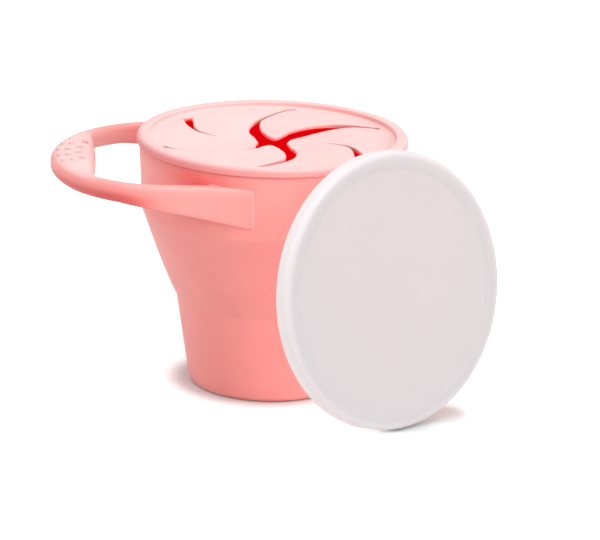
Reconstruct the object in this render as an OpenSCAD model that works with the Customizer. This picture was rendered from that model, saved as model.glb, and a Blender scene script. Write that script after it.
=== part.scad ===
// Toddler snack container: a collapsible soft cup with a carry loop, a flap top and a storage lid.
// Origin on the cup's axis at the surface it stands on, +Z up, the carry loop along -X.

/* [Cup] */
// Outer radius at the bottom of the base section
base_r = 26.2; // [24:0.1:28]
// Height of the lower crease, where the base section ends
crease_z = 30.2; // [28:0.1:32]
// Outer radius at the lower crease
crease_r = 31.1; // [30:0.1:32]
// Height of the upper crease, where the folding web ends
web_top_z = 60.3; // [58:0.1:62]
// Outer radius at the upper crease
web_top_r = 43.1; // [42.5:0.1:43.3]
// Height of the cup's own mouth, where the flap top sits
mouth_z = 82.2; // [81:0.1:84]
// Outer radius at the mouth
mouth_r = 44.1; // [43.8:0.1:44.4]
// Wall of the base section and of the upper band
wall = 2; // [1.6:0.1:2.4]
// Thickness of the floor
floor_t = 2.4; // [2:0.1:3]
// Wall of the folding web half way up
web_wall = 1.5; // [1.2:0.1:1.8]
// Wall of the folding web at its two creases
crease_wall = 0.9; // [0.7:0.1:1.1]

/* [Flap top] */
// Outer radius of the flap top's lip
lip_r = 45; // [44.6:0.1:45.2]
// Height of the flap top's bead above the cup's mouth
bead_h = 3; // [2.8:0.1:3.4]
// Width of the bead
bead_w = 4.2; // [3.8:0.1:4.6]
// Depth of the membrane below the top of the bead
membrane_drop = 1.5; // [1.2:0.1:1.6]
// Thickness of the membrane and its flaps
membrane_t = 1.3; // [1.1:0.1:1.4]
// Radius at which the six slits end
slit_out_r = 38; // [37:0.1:38.5]
// Direction of the first slit's outer end
slit_start = 20; // [0:1:59]
// Turn of a slit for each millimetre that it runs inward
slit_sweep = 1.85; // [1.7:0.01:1.95]
// Angle by which the two slits with wide arms start before their even place
arm_lead = 5; // [4:0.1:5.5]
// Width of a slit where it is closed
slit_gap = 0.5; // [0.4:0.05:0.6]
// Radius on each slit at which the next flap's root begins
root_r = 31; // [30.5:0.1:32]

/* [Carry loop] */
// Distance from the cup's axis to the nose of the loop
loop_reach = 73.4; // [70:0.1:76]
// Distance from the middle plane to the outer face of each arm
loop_half_w = 41.75; // [41:0.05:42.2]
// Radial thickness of the strap
strap_t = 4.5; // [4:0.1:5]
// Height of the strap's top edge
strap_top_z = 78; // [77:0.1:78.5]
// Height of the strap away from the cup
strap_h = 6.4; // [6:0.1:7]
// Height of the strap where it meets the cup
strap_root_h = 13.8; // [12:0.1:15]
// Distance from the cup's axis to the inner edge of the grip pad
pad_inner = 58.4; // [57:0.1:60]

/* [Storage lid] */
// Outer radius of the lid
lid_r = 45.4; // [45:0.1:45.6]
// Depth of the lid over its skirt
lid_depth = 5.4; // [5:0.1:5.8]
// Wall of the lid's skirt
lid_wall = 0.9; // [0.8:0.05:1]
// Thickness of the lid's panel
panel_t = 1.2; // [1:0.1:1.4]
// Angle by which the standing lid leans back
lid_lean = 9.9; // [9:0.1:10.5]
// Direction in which the standing lid's face looks
lid_turn = -53.3; // [-60:0.1:-45]
// Sideways place of the standing lid along its own width
lid_shift = 2.9; // [0:0.1:4]
// Space between the lid's skirt and the upward path of the flap top
lid_space = 2.2; // [1:0.1:4]

/* [Hidden] */

soft_pink = [0.98, 0.64, 0.62];
pale_pink = [0.99, 0.84, 0.83];
milky_white = [0.94, 0.92, 0.93];

facets = 144;
top_z = mouth_z + bead_h;
membrane_z = top_z - membrane_drop;
membrane_r = lip_r - bead_w;
plug_gap = 0.3;
plug_wall = 1.6;
plug_depth = 5;
mouth_inner_r = mouth_r - wall - 0.9;
flap_count = 6;
flap_step = 360 / flap_count;

// How far each flap hangs at rest, in degrees
flap_droop = [5.5, 4, 4, 0.5, 4, 4];

// A point along a quadratic curve through two ends, pulled towards a third point
function curve(a, b, c, t) = (1 - t) * (1 - t) * a + 2 * t * (1 - t) * b + t * t * c;

// A smooth step from 0 to 1
function ease(t) = let (u = min(1, max(0, t))) u * u * (3 - 2 * u);

// A rounded corner of a profile, as points from one angle to another
function arc(x, y, r, a0, a1, n = 6) = [for (k = [0:n]) let (a = a0 + (a1 - a0) * k / n)
    [x + r * cos(a), y + r * sin(a)]];

// Cup

web_pull = [crease_r + 3.8, crease_z + 6.8];
web_steps = 16;
function web_outer(t) = curve([crease_r, crease_z], web_pull, [web_top_r, web_top_z], t);
function web_thickness(t) = crease_wall + (web_wall - crease_wall) * sin(180 * t);

module cup_base() {
    foot_round = 2.2;
    inner_round = 4.5;
    inner_low_r = base_r - wall + 0.2;
    profile = concat(
        [[0, 0]],
        arc(base_r - foot_round, foot_round, foot_round, -90, 0),
        [[crease_r, crease_z], [crease_r - wall, crease_z]],
        arc(inner_low_r - inner_round, floor_t + inner_round, inner_round, 0, -90),
        [[0, floor_t]]);
    color(soft_pink) rotate_extrude($fn = facets) polygon(profile);
}

module fold_web() {
    outer = [for (k = [0:web_steps]) web_outer(k / web_steps)];
    inner = [for (k = [web_steps:-1:0]) web_outer(k / web_steps) - [web_thickness(k / web_steps), 0]];
    color(soft_pink) rotate_extrude($fn = facets) polygon(concat(outer, inner));
}

// Outline of the upper band's outer face, from its foot to the mouth
band_outline = [[web_top_r, web_top_z], [web_top_r + 0.35, web_top_z + 9], [mouth_r, mouth_z]];

module cup_band() {
    collar_h = 6;
    collar_slope = 0.5;
    profile = concat(
        band_outline,
        [[mouth_inner_r, mouth_z], [mouth_inner_r, mouth_z - collar_h],
         [mouth_inner_r + collar_slope, mouth_z - collar_h - 2],
         [web_top_r - wall, web_top_z + 1.5], [web_top_r - wall, web_top_z]]);
    color(soft_pink) rotate_extrude($fn = facets) polygon(profile);
}

module band_core() {
    rotate_extrude($fn = facets) polygon(concat(
        [[0, web_top_z - 5], [web_top_r, web_top_z - 5]], band_outline, [[0, mouth_z]]));
}

// Carry loop: a loft of rounded sections between an outer and an inner outline

arm_start_x = -36;
arm_end_x = -8;
arm_flare = 1.45;
nose_steps = 32;
arm_steps = 6;
section_steps = 16;
pad_bulge = 1.3;
pad_half_l = 24;

function arm_x(t) = arm_end_x + (arm_start_x - arm_end_x) * t;
function arm_y(face_y, t) = face_y + arm_flare * (1 - t) * (1 - t);
function nose(half_l, half_w, a) = [arm_start_x - half_l * cos(a), half_w * sin(a)];
function pad_edge(y) = -pad_inner - pad_bulge * y * y / (pad_half_l * pad_half_l);
function soft_max(a, b, s) = (a + b + sqrt((a - b) * (a - b) + s * s)) / 2;

nose_out_l = loop_reach + arm_start_x;
inner_half_w = loop_half_w - strap_t;
inner_nose_l = nose_out_l - strap_t - 0.8;
function nose_inner(a) = let (p = nose(inner_nose_l, inner_half_w, a))
    [soft_max(p[0], pad_edge(p[1]), 1.2), p[1]];

// Pairs of an outer and an inner point, from the front arm round the nose to the back arm
loop_stations = concat(
    [for (k = [0:arm_steps - 1]) let (t = k / arm_steps)
        [[arm_x(t), -arm_y(loop_half_w, t)], [arm_x(t), -arm_y(inner_half_w, t)]]],
    [for (k = [0:nose_steps]) let (a = -90 + 180 * k / nose_steps)
        [nose(nose_out_l, loop_half_w, a), nose_inner(a)]],
    [for (k = [arm_steps - 1:-1:0]) let (t = k / arm_steps)
        [[arm_x(t), arm_y(loop_half_w, t)], [arm_x(t), arm_y(inner_half_w, t)]]]);

gusset_start_x = -52;
gusset_l = 44;
pad_crown = 0.5;
function strap_low(x) = let (s = max(0, (x - gusset_start_x) / gusset_l))
    strap_top_z - strap_h - (strap_root_h - strap_h) * pow(s, 1.2);
function pad_share(x) = ease((-60 - x) / 12);

// One rounded section, as points between an outer and an inner point
function loop_section(pair) =
    let (mid = (pair[0] + pair[1]) / 2, half = (pair[0] - pair[1]) / 2,
         share = pad_share(pair[0][0]),
         high = strap_top_z + pad_crown * share,
         low = strap_low(pair[0][0]) - pad_crown * share,
         power = 0.5)
    [for (k = [0:section_steps - 1]) let (a = 360 * (k + 0.5) / section_steps,
        c = sign(cos(a)) * pow(abs(cos(a)), power), s = sign(sin(a)) * pow(abs(sin(a)), power))
        [mid[0] + half[0] * c, mid[1] + half[1] * c, (high + low) / 2 + (high - low) / 2 * s]];

module loft(rings) {
    n = len(rings[0]);
    last = len(rings) - 1;
    points = [for (ring = rings) for (p = ring) p];
    sides = [for (i = [0:last - 1]) for (k = [0:n - 1]) let (m = (k + 1) % n)
        each [[i * n + k, i * n + m, (i + 1) * n + m], [i * n + k, (i + 1) * n + m, (i + 1) * n + k]]];
    caps = [[for (k = [n - 1:-1:0]) k], [for (k = [0:n - 1]) last * n + k]];
    polyhedron(points, concat(sides, caps));
}

module carry_loop() {
    color(soft_pink) difference() {
        loft([for (pair = loop_stations) loop_section(pair)]);
        band_core();
    }
}

// Flap top: six slits swirl inward, and each flap bends about a line at its root

arm_gap_w = 4.3;
arm_gap_in = 14;
arm_gap_out = 26;
wedge_w = 3.2;
wedge_out = 32;
comma_w = 2.2;
comma_in = 25;
comma_wide = 34;
comma_out = 37.4;
comma_lead = 1.5;
shut_turn = 8;
shut_in = 15;
shut_out = 27;
corner_r = 13.9;
hook_r = 9;
wedge_in = 9.4;
meet_r = 5.6;
tip_dip = [5.6, 2, 0];
hole_r = 0.8;
edge_steps = 14;

// Direction of slit i at radius r; slits 2 and 5, which stay shut near the middle, straighten there
function slit_angle(i, r) = slit_start + flap_step * i + slit_sweep * (slit_out_r - r)
    - [0, arm_lead * (0.6 + 0.4 * ease((slit_out_r - r) / 8)),
       comma_lead + shut_turn * ease((shut_out - r) / (shut_out - shut_in))][i % 3];

// A point beside slit i at radius r, by a distance across the slit, positive on its left looking outward
function beside(i, r, off) = let (slope = r * slit_sweep * PI / 180,
    a = slit_angle(i, r) + off * sqrt(1 + slope * slope) / r * 180 / PI) [r * cos(a), r * sin(a)];

// Slits 0 and 3 open into long wedges and slits 1 and 4 into wide arms, both towards the middle, and
// slits 2 and 5 into commas near the rim
function wedge_gap(r) = wedge_w * (1 - pow(min(1, max(0, (r - corner_r) / (wedge_out - corner_r))), 1.5));
function arm_gap(r) = arm_gap_w * max(0, arm_gap_out - r) / (arm_gap_out - arm_gap_in);
function comma_gap(r) = comma_w * ease((r - comma_in) / (comma_wide - comma_in))
    * sqrt(max(0, 1 - pow(max(0, (r - comma_wide) / (comma_out - comma_wide)), 2)));
function recess(i, r) = [wedge_gap(r), arm_gap(r), comma_gap(r)][i % 3];

// Inner ends of a flap's two long edges, along the slit before it and the slit after it
function start_in(i) = [corner_r, hook_r, meet_r][i % 3];
function end_in(i) = [wedge_in, arm_gap_in, meet_r][i % 3];

// The round tip between the ends of a flap's long edges, a curve that dips towards the axis
function tip(i, steps = 12) = let (
    p = beside(i, start_in(i), slit_gap / 2),
    q = beside(i + 1, end_in(i + 1), -slit_gap / 2 - recess(i + 1, end_in(i + 1))),
    a = atan2(p[1], p[0]), turn = (atan2(q[1], q[0]) - a + 720) % 360)
    [for (k = [1:steps - 1]) let (s = k / steps,
        r = norm(p) + (norm(q) - norm(p)) * s - tip_dip[i % 3] * pow(1 - pow(2 * s - 1, 2), 0.6))
        [r * cos(a + turn * s), r * sin(a + turn * s)]];

function flap_outline(i) = concat(
    [for (k = [0:edge_steps]) let (r = root_r + 1 + (start_in(i) - root_r - 1) * k / edge_steps)
        beside(i, r, slit_gap / 2)],
    tip_dip[i % 3] > 0 ? tip(i) : [],
    [for (k = [0:edge_steps]) let (r = end_in(i + 1) + (slit_out_r + 1 - end_in(i + 1)) * k / edge_steps)
        beside(i + 1, r, -slit_gap / 2 - recess(i + 1, r))]);

// Root line of a flap: its two ends, its direction and its place at mid thickness
function root_a(i) = beside(i, root_r, slit_gap / 2);
function root_b(i) = beside(i + 1, slit_out_r, -slit_gap / 2);
function root_turn(i) = let (d = root_b(i) - root_a(i)) atan2(d[1], d[0]);
root_gap = 0.2;
root_inset = root_gap + membrane_t / 2;

// The open outline inside the flap top's fixed part
function ring_outline() = [for (i = [0:flap_count - 1]) each concat(
    [for (k = [0:6]) beside(i, slit_out_r + (root_r - slit_out_r) * k / 6, slit_gap / 2)],
    [root_b(i)])];

module slit_end_holes(h) {
    for (i = [0:flap_count - 1])
        translate([beside(i, slit_out_r, 0)[0], beside(i, slit_out_r, 0)[1], -1])
            cylinder(r = hole_r, h = h, $fn = 24);
}

module flap_ring() {
    lip_round = 1.5;
    bead_top = 1.1;
    plug_r = mouth_inner_r - plug_gap;
    bead_profile = concat(
        [[plug_r - plug_wall, mouth_z - plug_depth], [plug_r - 0.5, mouth_z - plug_depth],
         [plug_r, mouth_z - plug_depth + 1.5], [plug_r, mouth_z], [lip_r - 0.4, mouth_z]],
        [[lip_r, mouth_z + 0.4]],
        arc(lip_r - lip_round, top_z - lip_round, lip_round, 0, 90),
        arc(membrane_r + bead_top, top_z - bead_top, bead_top, 90, 180),
        [[membrane_r, membrane_z - membrane_t], [plug_r - plug_wall, membrane_z - membrane_t]]);
    color(pale_pink) union() {
        rotate_extrude($fn = facets) polygon(bead_profile);
        translate([0, 0, membrane_z - membrane_t]) difference() {
            linear_extrude(membrane_t) difference() {
                circle(r = membrane_r + 0.5, $fn = facets);
                polygon(ring_outline());
            }
            slit_end_holes(membrane_t + 2);
        }
    }
}

module flap(i) {
    a = root_a(i);
    turn = root_turn(i);
    mid_z = membrane_z - membrane_t / 2;
    length = norm(root_b(i) - a);
    color(pale_pink)
        translate([a[0], a[1], mid_z]) rotate([0, 0, turn]) translate([0, root_inset, 0])
        rotate([-flap_droop[i], 0, 0])
        intersection() {
            difference() {
                translate([0, -root_inset, 0]) rotate([0, 0, -turn])
                    translate([-a[0], -a[1], -membrane_t / 2])
                    linear_extrude(membrane_t) polygon(flap_outline(i));
                translate([0, -root_inset, 0]) rotate([0, 0, -turn])
                    translate([-a[0], -a[1], -membrane_t]) slit_end_holes(2 * membrane_t + 2);
            }
            union() {
                translate([-length, 0, -membrane_t]) cube([3 * length, 2 * length, 2 * membrane_t]);
                translate([-length, 0, 0]) rotate([0, 90, 0])
                    cylinder(d = membrane_t, h = 3 * length, $fn = 32);
            }
        }
}

// Storage lid: a shallow cap on its edge, leaning back towards the cup

module lid_body() {
    edge_round = 3.2;
    rib_r = 40.2;
    rib_w = 1;
    rib_h = 1.5;
    face_step_r = 40.6;
    face_step = 0.4;
    snap = 0.3;
    inner_round = 1.9;
    inner_r = lid_r - lid_wall;
    profile = concat(
        [[0, -face_step], [face_step_r - 0.6, -face_step], [face_step_r, 0]],
        arc(lid_r - edge_round, -edge_round, edge_round, 90, 0),
        [[lid_r, -lid_depth + 0.3], [lid_r - 0.3, -lid_depth], [inner_r, -lid_depth],
         [inner_r - snap, -lid_depth + 0.8], [inner_r, -lid_depth + 1.6]],
        arc(inner_r - inner_round, -panel_t - inner_round, inner_round, 0, 90),
        [[rib_r + rib_w, -panel_t], [rib_r + rib_w - 0.2, -panel_t - rib_h],
         [rib_r + 0.2, -panel_t - rib_h], [rib_r, -panel_t - face_step], [0, -panel_t - face_step]]);
    rotate_extrude($fn = facets) polygon(profile);
}

lid_distance = lip_r + 0.4 + lid_depth * cos(lid_lean) + lid_r * sin(lid_lean) + lid_space;
lid_height = lid_depth * sin(lid_lean) + lid_r * cos(lid_lean);

module storage_lid() {
    color(milky_white) rotate([0, 0, lid_turn]) translate([lid_distance, lid_shift, lid_height])
        rotate([0, 90 - lid_lean, 0]) lid_body();
}

cup_base();
fold_web();
cup_band();
carry_loop();
flap_ring();
flap(0);  // flap_1
flap(1);  // flap_2
flap(2);  // flap_3
flap(3);  // flap_4
flap(4);  // flap_5
flap(5);  // flap_6
storage_lid();
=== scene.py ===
"""Looks of a soft collapsible snack cup with a carry loop, a flap top and a storage lid.

Shapes are worked out in millimetres and become meshes in metres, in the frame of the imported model: the
origin is on the cup's axis at the floor, +Z is up and the carry loop points along -X.
"""

from __future__ import annotations

import logging
from dataclasses import dataclass, field
from enum import Enum
from typing import Callable, Sequence, Union

import bpy
import numpy as np
from mathutils import Matrix


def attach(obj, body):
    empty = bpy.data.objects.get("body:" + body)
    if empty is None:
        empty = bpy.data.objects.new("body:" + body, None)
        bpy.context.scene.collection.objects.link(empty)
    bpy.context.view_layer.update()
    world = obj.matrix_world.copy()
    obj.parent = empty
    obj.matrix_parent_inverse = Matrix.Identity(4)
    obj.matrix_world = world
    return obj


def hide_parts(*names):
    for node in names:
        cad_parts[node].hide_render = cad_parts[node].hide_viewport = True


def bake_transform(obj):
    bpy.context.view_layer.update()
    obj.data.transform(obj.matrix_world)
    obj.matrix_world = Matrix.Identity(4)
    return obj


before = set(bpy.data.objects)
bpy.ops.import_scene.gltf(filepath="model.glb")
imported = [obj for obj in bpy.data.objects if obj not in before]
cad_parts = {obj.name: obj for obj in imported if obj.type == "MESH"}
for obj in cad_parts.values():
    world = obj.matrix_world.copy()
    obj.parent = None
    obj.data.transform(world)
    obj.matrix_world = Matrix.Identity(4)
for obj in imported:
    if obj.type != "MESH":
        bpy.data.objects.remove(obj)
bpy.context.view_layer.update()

MM = 0.001
AIM = np.array([0.0, 0.0, 0.045])
WHITE = (1.0, 1.0, 1.0, 1.0)
BLACK = (0.0, 0.0, 0.0, 1.0)
LOG = logging.getLogger("snack_cup")


class Follows(Enum):
    """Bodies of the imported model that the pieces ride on."""

    BAND = "band"
    TOP = "top"
    LID = "lid"


class Slot(Enum):
    """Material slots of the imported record."""

    CUP = "cup"
    FLAP_TOP = "flap_top"
    LID = "lid"


# Sums and curves


def ease(t: np.ndarray | float) -> np.ndarray:
    """Smooth step: 3 u squared minus 2 u cubed, with u being t held between 0 and 1."""
    u = np.clip(t, 0.0, 1.0)
    return u * u * (3.0 - 2.0 * u)


@dataclass(frozen=True)
class Ramp:
    """A smooth step from 0 to 1 between two places, which may run either way."""

    start: float
    end: float

    def at(self, place: np.ndarray | float) -> np.ndarray:
        """The step's value at a place."""
        return ease((place - self.start) / (self.end - self.start))


def on_circle(radius: np.ndarray | float, degrees: np.ndarray | float) -> np.ndarray:
    """Plan points at a radius and a direction: x is r cos a and y is r sin a."""
    turn = np.radians(degrees)
    return np.stack([radius * np.cos(turn), radius * np.sin(turn)], axis=-1)


def stand(right: np.ndarray, up: np.ndarray, back: np.ndarray, at: np.ndarray) -> Matrix:
    """Matrix that stands a lamp or a camera in its place.

    Args:
        right: the X axis.
        up: the Y axis.
        back: the Z axis.
        at: the origin, in metres.

    Returns:
        The matrix.
    """
    place = np.eye(4)
    place[:3] = np.column_stack([right, up, back, at])
    return Matrix(place.tolist())


def linear(colour: Sequence[float]) -> tuple[float, float, float, float]:
    """Turns a colour as it is seen on a screen into the linear values that a shader takes.

    Args:
        colour: red, green and blue from 0 to 1, as a screen shows them.

    Returns:
        Linear red, green and blue, and an alpha of 1.
    """
    c = np.asarray(colour, dtype=float)
    low = c / 12.92
    high = ((c + 0.055) / 1.055) ** 2.4
    red, green, blue = (float(v) for v in np.where(c <= 0.04045, low, high))
    return red, green, blue, 1.0


def rounded(
    corners: Sequence[tuple[float, float, float]], closed: bool = False, steps: int = 7
) -> np.ndarray:
    """Rounds the corners of a profile with arcs that touch both of a corner's sides.

    The arc starts at rounding / tan(half angle) from the corner and its centre lies on the bisector, at
    rounding / sin(half angle). A rounding too large for a side is cut to what fits.

    Args:
        corners: distance from the axis, height and rounding of each corner, in millimetres.
        closed: whether the last corner joins the first.
        steps: number of steps in each arc.

    Returns:
        The profile's points, one row each.
    """
    count = len(corners)
    here = np.array([c[:2] for c in corners], dtype=float)
    out: list[np.ndarray] = []
    for k, (_, _, rounding) in enumerate(corners):
        if rounding <= 0 or (not closed and k in (0, count - 1)):
            out.append(here[k][None])
            continue
        back = here[k - 1] - here[k]
        on = here[(k + 1) % count] - here[k]
        back_l, on_l = np.linalg.norm(back), np.linalg.norm(on)
        back, on = back / back_l, on / on_l
        half = np.arccos(np.clip(back @ on, -1, 1)) / 2
        reach = min(rounding / np.tan(half), 0.48 * back_l, 0.48 * on_l)
        radius = reach * np.tan(half)
        bisector = (back + on) / np.linalg.norm(back + on)
        centre = here[k] + bisector * radius / np.sin(half)
        first, last = here[k] + back * reach - centre, here[k] + on * reach - centre
        sweep = np.pi - 2 * half
        t = np.linspace(0, 1, steps + 1)[:, None]
        arc = (np.sin((1 - t) * sweep) * first + np.sin(t * sweep) * last) / np.sin(sweep)
        out.append(centre + arc)
    return np.concatenate(out)


def finer(profile: np.ndarray, step: float) -> np.ndarray:
    """Adds points along a profile's long sides, so that smooth shading stays true beside a rounding.

    Args:
        profile: the profile's points.
        step: longest distance between two points afterwards.

    Returns:
        The same polyline with every side cut into equal parts no longer than the step.
    """
    sides = np.linalg.norm(np.diff(profile, axis=0), axis=1)
    parts = np.maximum(1, np.ceil(sides / step)).astype(int)
    at = np.concatenate([[0.0], np.cumsum(sides)])
    spans = [np.linspace(a, b, n, endpoint=False) for a, b, n in zip(at[:-1], at[1:], parts)]
    marks = np.append(np.concatenate(spans), at[-1])
    return np.stack([np.interp(marks, at, profile[:, 0]), np.interp(marks, at, profile[:, 1])], axis=-1)


class Shell:
    """Closed surfaces gathered from grids of points, each with a depth and a glow.

    The depth carries painted light: it goes from -1, a painted highlight, over 0, skin, to 1, a painted
    deep red of shade and of light through the silicone. The glow goes from -1, painted shade deep in a
    slit, over 0 to 1, a painted glow where all the light has come through the material.
    """

    def __init__(self) -> None:
        """Starts with no points."""
        self._points: list[np.ndarray] = []
        self._depths: list[np.ndarray] = []
        self._glows: list[np.ndarray] = []
        self._quads: list[np.ndarray] = []
        self._tris: list[np.ndarray] = []
        self._count = 0

    def add(
        self, points: np.ndarray, depth: np.ndarray | float = 0.0, glow: np.ndarray | float = 0.0
    ) -> np.ndarray:
        """Adds a grid of points.

        Args:
            points: array whose last axis is x, y and z in millimetres.
            depth: painted light at each point, from -1, a painted highlight, to 1, a painted deep red.
            glow: painted glow of light through the material at each point, up to 1, and painted slit shade
                below 0, down to -1.

        Returns:
            The points' numbers, in the shape of the grid.
        """
        shape = points.shape[:-1]
        total = int(np.prod(shape))
        self._points.append(points.reshape(-1, 3))
        self._depths.append(np.broadcast_to(depth, shape).reshape(-1))
        self._glows.append(np.broadcast_to(glow, shape).reshape(-1))
        self._count += total
        return np.arange(self._count - total, self._count).reshape(shape)

    def skin(self, numbers: np.ndarray, ring_rows: bool = False, ring_columns: bool = False) -> None:
        """Joins neighbours in a grid of numbers with four-sided faces.

        Args:
            numbers: the grid of numbers.
            ring_rows: whether the last row joins the first.
            ring_columns: whether the last column joins the first.
        """
        if ring_rows:
            numbers = np.vstack([numbers, numbers[:1]])
        if ring_columns:
            numbers = np.hstack([numbers, numbers[:, :1]])
        corners = [numbers[:-1, :-1], numbers[:-1, 1:], numbers[1:, 1:], numbers[1:, :-1]]
        self._quads.append(np.stack(corners, axis=-1).reshape(-1, 4))

    def fan(self, tip: int, ring: np.ndarray, before: bool) -> None:
        """Closes a ring of numbers on one point.

        Args:
            tip: the point's number.
            ring: numbers round the ring.
            before: whether the tip comes before the ring in the order of the rows.
        """
        following = np.roll(ring, -1)
        tips = np.full_like(ring, tip)
        order = [tips, following, ring] if before else [ring, following, tips]
        self._tris.append(np.stack(order, axis=-1))

    @staticmethod
    def _spread(values: np.ndarray | float, rows: int, columns: int) -> np.ndarray:
        """Spreads one number, a number for each row or a whole grid over a grid."""
        values = np.reshape(values, (-1, 1)) if np.ndim(values) < 2 else values
        return np.broadcast_to(values, (rows, columns))

    def revolve(
        self, profile: np.ndarray, depth: np.ndarray, glow: np.ndarray | float, turns: int, ring: bool
    ) -> None:
        """Carries a profile round the Z axis: x is r cos a, y is r sin a and z is the height.

        Args:
            profile: distance from the axis and height of each point.
            depth: depth of each point of the profile, or of each point of the whole grid.
            glow: glow in the same way.
            turns: number of steps in a full turn.
            ring: whether the profile is closed; otherwise both its ends lie on the axis.
        """
        depth, glow = (self._spread(values, len(profile), turns) for values in (depth, glow))
        body = slice(None) if ring else slice(1, -1)
        angle = np.linspace(0, 360, turns, endpoint=False)
        plan = on_circle(profile[body, None, 0], angle[None])
        height = np.broadcast_to(profile[body, None, None, 1], plan.shape[:2] + (1,))
        numbers = self.add(np.concatenate([plan, height], axis=-1), depth[body], glow[body])
        self.skin(numbers, ring_rows=ring, ring_columns=True)
        if not ring:
            for end, row, before in ((0, 0, True), (-1, -1, False)):
                tip = self.add(np.array([[0.0, 0.0, profile[end, 1]]]), depth[end, 0], glow[end, 0])
                self.fan(int(tip[0]), numbers[row], before)

    def piece(
        self, name: str, material: bpy.types.Material, place: np.ndarray | None = None
    ) -> bpy.types.Object:
        """Makes the mesh in metres, smooth and with its faces outwards.

        Six times the volume is the sum of a . (b x c) over the triangles. Below zero, the faces point
        inwards, so they are turned round.

        Args:
            name: the piece's name.
            material: its finish.
            place: matrix that puts it in its place, in millimetres.

        Returns:
            The object, linked to the scene.
        """
        points = np.concatenate(self._points)
        if place is not None:
            points = points @ place[:3, :3].T + place[:3, 3]
        quads = np.concatenate(self._quads)
        tris = np.concatenate(self._tris) if self._tris else np.zeros((0, 3), dtype=int)
        halves = np.concatenate([quads[:, [0, 1, 2]], quads[:, [0, 2, 3]], tris])
        a, b, c = (points[halves[:, k]] for k in range(3))
        if np.einsum("ij,ij->", a, np.cross(b, c)) < 0:
            quads, tris = quads[:, ::-1], tris[:, ::-1]
        mesh = bpy.data.meshes.new(name)
        mesh.vertices.add(len(points))
        mesh.vertices.foreach_set("co", (points * MM).astype(np.float32).ravel())
        loops = np.concatenate([quads.ravel(), tris.ravel()]).astype(np.int32)
        starts = np.concatenate([np.arange(len(quads)) * 4, 4 * len(quads) + np.arange(len(tris)) * 3])
        mesh.loops.add(len(loops))
        mesh.loops.foreach_set("vertex_index", loops)
        mesh.polygons.add(len(starts))
        mesh.polygons.foreach_set("loop_start", starts.astype(np.int32))
        mesh.polygons.foreach_set("use_smooth", np.ones(len(starts), dtype=bool))
        for kept, values in (("depth", self._depths), ("glow", self._glows)):
            attribute = mesh.attributes.new(kept, "FLOAT", "POINT")
            attribute.data.foreach_set("value", np.concatenate(values).astype(np.float32))
        mesh.update(calc_edges=True)
        mesh.validate()
        mesh.materials.append(material)
        made = bpy.data.objects.new(name, mesh)
        bpy.context.scene.collection.objects.link(made)
        LOG.info("%s: %d points, %d faces", name, len(points), len(starts))
        return made


# Shader sums


def _operator(operation: str, swapped: bool = False) -> Callable[["Wire", "Amount"], "Wire"]:
    """Makes the method that stands for one operator on wires.

    Args:
        operation: what the Math node works out.
        swapped: whether the other amount comes first.

    Returns:
        The method, which adds the node and gives its output.
    """

    def method(wire: "Wire", other: "Amount") -> "Wire":
        """Works out the operation on the wire and the other amount."""
        amounts = (other, wire) if swapped else (wire, other)
        node = wire.palette.node("ShaderNodeMath", {"operation": operation}, dict(enumerate(amounts)))
        return Wire(wire.palette, node.outputs[0])

    return method


class Wire:
    """One number socket of a node tree; sums on it add the Math nodes that work them out."""

    def __init__(self, palette: "Palette", socket: bpy.types.NodeSocket) -> None:
        """Wraps a socket of the palette's tree."""
        self.palette = palette
        self.socket = socket

    __add__, __radd__ = _operator("ADD"), _operator("ADD", swapped=True)
    __sub__, __rsub__ = _operator("SUBTRACT"), _operator("SUBTRACT", swapped=True)
    __mul__, __rmul__ = _operator("MULTIPLY"), _operator("MULTIPLY", swapped=True)
    __pow__, larger = _operator("POWER"), _operator("MAXIMUM")


Amount = Union[Wire, float]


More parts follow.
